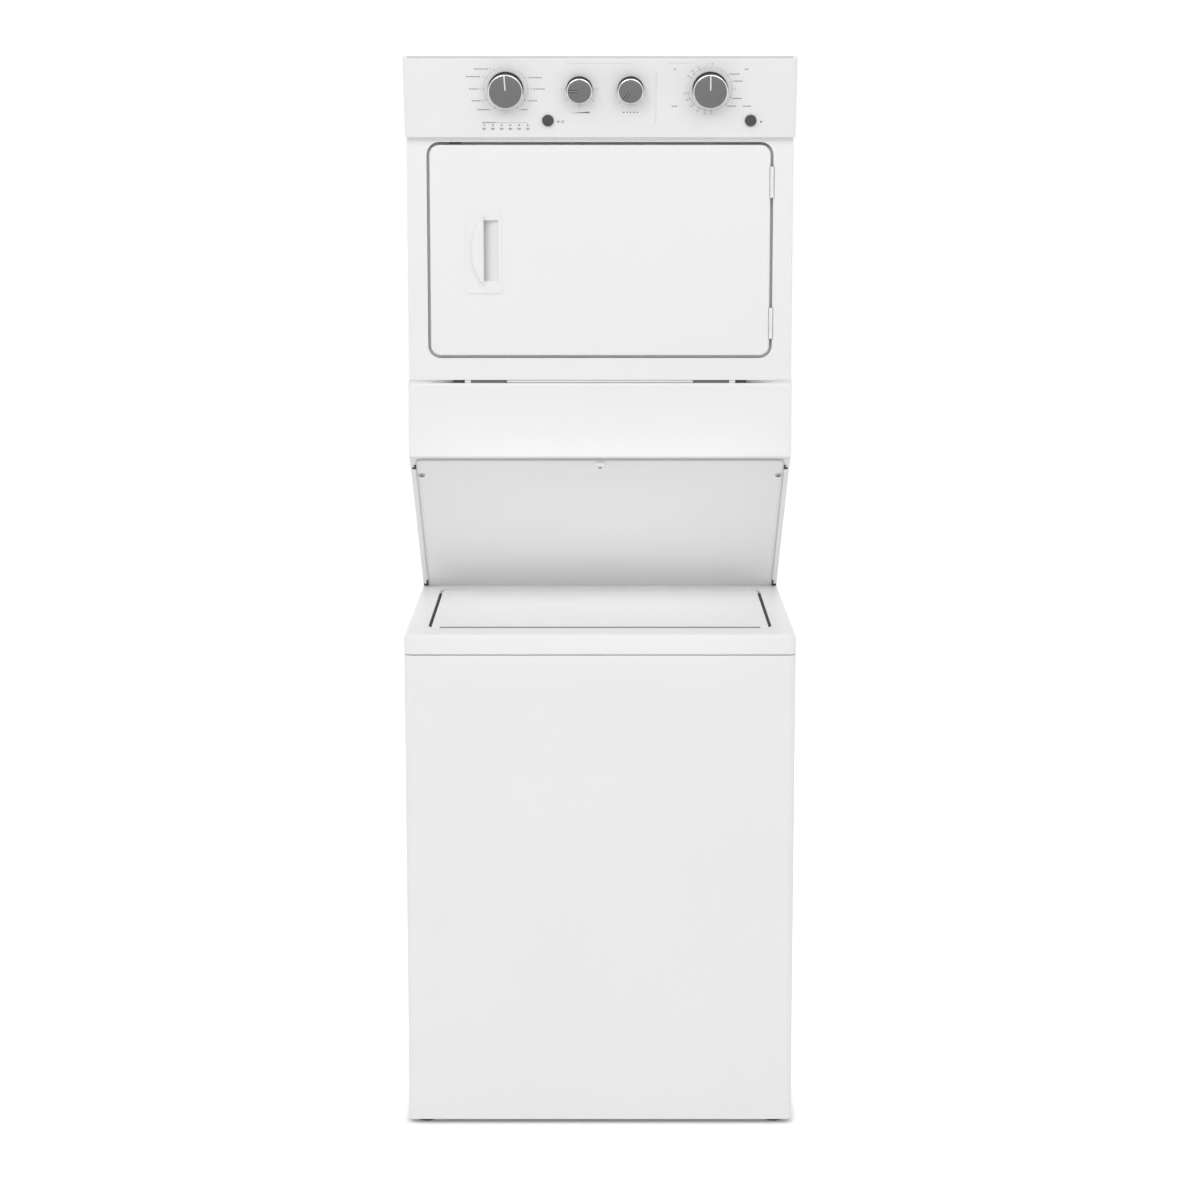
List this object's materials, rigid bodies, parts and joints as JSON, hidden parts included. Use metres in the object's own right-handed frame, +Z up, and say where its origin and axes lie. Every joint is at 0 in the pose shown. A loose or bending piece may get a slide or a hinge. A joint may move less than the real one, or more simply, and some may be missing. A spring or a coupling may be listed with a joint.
{
  "type": "washer dryer stack",
  "caption": "Stacked laundry centre: top-loading washer with a sloped loading recess below a front-loading tumble dryer and a console with knobs.",
  "frame": {"origin": "floor under the middle of the stack's box", "axes": "+Z up, -Y towards the front with the doors and console, +X to the right of someone facing it"},
  "size_m": [0.692, 0.819, 1.905],
  "materials": {
    "white_enamel": "white baked enamel on sheet steel",
    "galvanised_steel": "zinc coated sheet steel",
    "white_plastic": "moulded white plastic",
    "tub_plastic": "moulded polypropylene",
    "dark_plastic": "dark moulded plastic",
    "knob_grey": "satin grey plastic with a silvered edge",
    "machined_steel": "turned steel",
    "motor_iron": "black painted motor casing",
    "cast_housing": "die-cast aluminium",
    "black_rubber": "black rubber",
    "grey_felt": "pressed felt",
    "inlet_plastic": "moulded nylon",
    "clear_lens": "moulded lens"
  },
  "bodies": {
    "cabinet": {"access_panel": "white_enamel", "base_frame": "galvanised_steel", "bearing_housing": "cast_housing", "blower_housing": "tub_plastic", "console_panel": "white_plastic", "control_switches": "dark_plastic", "door_catch": "dark_plastic", "drain_hose": "black_rubber", "drain_pump": "tub_plastic", "dryer_belt": "black_rubber", "dryer_cabinet": "white_enamel", "dryer_front_panel": "white_enamel", "dryer_motor": "motor_iron", "dryer_top": "white_enamel", "exhaust_duct": "galvanised_steel", "felt_seals": "grey_felt", "front_bulkhead": "white_enamel", "heater_box": "galvanised_steel", "hinge_leaves": "white_plastic", "indicator_lights": "clear_lens", "levelling_feet": "black_rubber", "lid_bumper": "white_plastic", "motor_shelf": "galvanised_steel", "outer_tub": "tub_plastic", "rear_bulkhead": "white_enamel", "recess_panel": "white_enamel", "suspension_rods": "machined_steel", "terminal_cover": "dark_plastic", "washer_belt": "black_rubber", "washer_cabinet": "white_enamel", "washer_motor": "motor_iron", "washer_rear_panel": "galvanised_steel", "washer_top": "white_enamel", "water_inlet_valve": "inlet_plastic"},
    "lid": {"washer_lid": "white_enamel", "lid_hinge_pins": "machined_steel"},
    "door": {"door_skin": "white_enamel", "door_inner": "white_enamel", "door_gasket": "black_rubber", "door_handle": "white_plastic", "hinge_knuckles": "white_plastic"},
    "cycle_knob": {"cycle_knob": "knob_grey"},
    "temperature_knob": {"temperature_knob": "knob_grey"},
    "softener_knob": {"softener_knob": "knob_grey"},
    "timer_knob": {"timer_knob": "knob_grey"},
    "washer_button": {"washer_button": "dark_plastic"},
    "dryer_button": {"dryer_button": "dark_plastic"},
    "basket": {"wash_basket": "tub_plastic", "balance_ring": "white_plastic"},
    "agitator": {"agitator": "white_plastic", "drive_shaft": "machined_steel"},
    "washer_motor_rotor": {"washer_motor_pulley": "machined_steel"},
    "drum": {"drum": "white_enamel", "drum_baffles": "white_plastic"},
    "dryer_motor_rotor": {"dryer_motor_shaft": "machined_steel", "blower_wheel": "dark_plastic"},
    "idler": {"idler_pulley": "dark_plastic"},
    "left_roller": {"left_roller": "dark_plastic"},
    "right_roller": {"right_roller": "dark_plastic"},
    "lint_screen": {"lint_screen": "tub_plastic"}
  },
  "joints": [
    {"name": "lid_hinge", "type": "hinge", "parent": "cabinet", "child": "lid", "pos_m": [0, 0.0582, 0.893], "axis": [-1, 0, 0], "range_deg": [0, 43]},
    {"name": "door_hinge", "type": "hinge", "parent": "cabinet", "child": "door", "pos_m": [0.305, -0.25, 1.565], "axis": [0, 0, 1], "range_deg": [0, 165]},
    {"name": "cycle_knob_turn", "type": "hinge", "parent": "cabinet", "child": "cycle_knob", "pos_m": [-0.16539, -0.2818, 1.84857], "axis": [0, -0.9718, -0.236], "continuous": true},
    {"name": "temperature_knob_turn", "type": "hinge", "parent": "cabinet", "child": "temperature_knob", "pos_m": [-0.03619, -0.2818, 1.84857], "axis": [0, -0.9718, -0.236], "range_deg": [0, 180]},
    {"name": "softener_knob_turn", "type": "hinge", "parent": "cabinet", "child": "softener_knob", "pos_m": [0.05359, -0.2818, 1.84857], "axis": [0, -0.9718, -0.236], "range_deg": [0, 76]},
    {"name": "timer_knob_turn", "type": "hinge", "parent": "cabinet", "child": "timer_knob", "pos_m": [0.1931, -0.2818, 1.84857], "axis": [0, -0.9718, -0.236], "continuous": true},
    {"name": "washer_button_press", "type": "slide", "parent": "cabinet", "child": "washer_button", "axis": [0, 0.9718, 0.236], "range_m": [0, 0.003], "stiffness_N_per_m": 400},
    {"name": "dryer_button_press", "type": "slide", "parent": "cabinet", "child": "dryer_button", "axis": [0, 0.9718, 0.236], "range_m": [0, 0.003], "stiffness_N_per_m": 400},
    {"name": "basket_spin", "type": "hinge", "parent": "cabinet", "child": "basket", "pos_m": [0, -0.1043, 0.322], "axis": [0, 0, 1], "continuous": true},
    {"name": "agitator_spin", "type": "hinge", "parent": "cabinet", "child": "agitator", "pos_m": [0, -0.1043, 0.328], "axis": [0, 0, 1], "continuous": true},
    {"name": "washer_motor_spin", "type": "hinge", "parent": "cabinet", "child": "washer_motor_rotor", "pos_m": [-0.19, -0.1043, 0.176], "axis": [0, 0, 1], "continuous": true},
    {"name": "drum_spin", "type": "hinge", "parent": "cabinet", "child": "drum", "pos_m": [0, -0.1695, 1.578], "axis": [0, 1, 0], "continuous": true},
    {"name": "dryer_motor_spin", "type": "hinge", "parent": "cabinet", "child": "dryer_motor_rotor", "pos_m": [-0.24, -0.1132, 1.2813], "axis": [0, 1, 0], "continuous": true},
    {"name": "idler_spin", "type": "hinge", "parent": "cabinet", "child": "idler", "pos_m": [-0.10824, 0.0408, 1.25042], "axis": [0, 1, 0], "continuous": true},
    {"name": "left_roller_spin", "type": "hinge", "parent": "cabinet", "child": "left_roller", "pos_m": [-0.19175, 0.288, 1.30416], "axis": [0, 1, 0], "continuous": true},
    {"name": "right_roller_spin", "type": "hinge", "parent": "cabinet", "child": "right_roller", "pos_m": [0.19175, 0.288, 1.30416], "axis": [0, 1, 0], "continuous": true},
    {"name": "lint_screen_slide", "type": "slide", "parent": "cabinet", "child": "lint_screen", "axis": [0, 0, 1], "range_m": [0, 0.12]}
  ],
  "couplings": [
    {"joint": "washer_motor_spin", "follows": "agitator_spin", "ratio": 4.0909},
    {"joint": "dryer_motor_spin", "follows": "drum_spin", "ratio": 24.667},
    {"joint": "idler_spin", "follows": "drum_spin", "ratio": -13.455},
    {"joint": "left_roller_spin", "follows": "drum_spin", "ratio": -7.7895},
    {"joint": "right_roller_spin", "follows": "drum_spin", "ratio": -7.7895}
  ]
}
